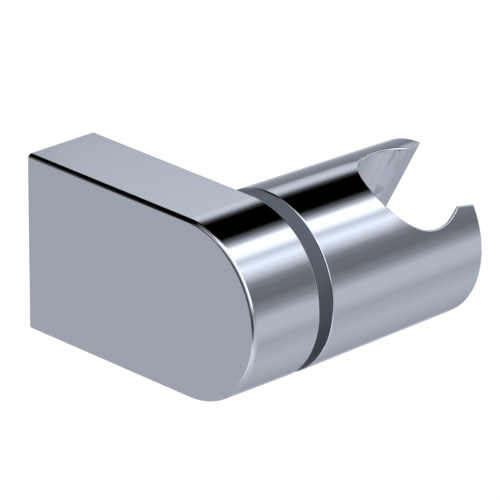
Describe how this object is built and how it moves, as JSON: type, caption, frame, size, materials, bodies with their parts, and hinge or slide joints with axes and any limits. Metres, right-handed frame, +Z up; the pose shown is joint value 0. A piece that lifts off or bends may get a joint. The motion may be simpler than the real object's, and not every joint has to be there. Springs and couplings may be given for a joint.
{
  "type": "hand shower holder",
  "caption": "Chrome wall holder for a hand shower: a flat block with a rounded nose and, beside it behind a grey ring, a round swivelling cradle with an open tapered seat.",
  "frame": {"origin": "on the wall plane, midway between the two fixing screws", "axes": "+Y into the wall, +Z up, +X along the swivel axis towards the cradle's open end"},
  "size_m": [0.0665, 0.0695, 0.04],
  "materials": {
    "chrome_shell": "polished",
    "grey_ring": "satin",
    "zinc_steel": "satin",
    "screw_steel": "satin",
    "spring_steel": "satin",
    "insert_brass": "satin",
    "black_rubber": "matte",
    "white_bearing": "satin"
  },
  "bodies": {
    "base": {"base_housing": "chrome_shell", "wall_block": "zinc_steel", "locking_screw": "screw_steel", "locking_nut": "screw_steel", "thread_insert": "insert_brass", "friction_ring": "grey_ring", "o_ring": "black_rubber", "disc_spring_inner": "spring_steel", "disc_spring_outer": "spring_steel", "head_washer": "screw_steel", "pivot_screw": "screw_steel"},
    "cradle": {"swivel_cradle": "chrome_shell", "bearing_bush": "white_bearing", "thrust_washer": "white_bearing", "screw_cap": "chrome_shell"}
  },
  "joints": [
    {"name": "cradle_tilt", "type": "hinge", "parent": "base", "child": "cradle", "pos_m": [0.03, -0.0495, 0], "axis": [1, 0, 0], "range_deg": [-60, 60]}
  ]
}
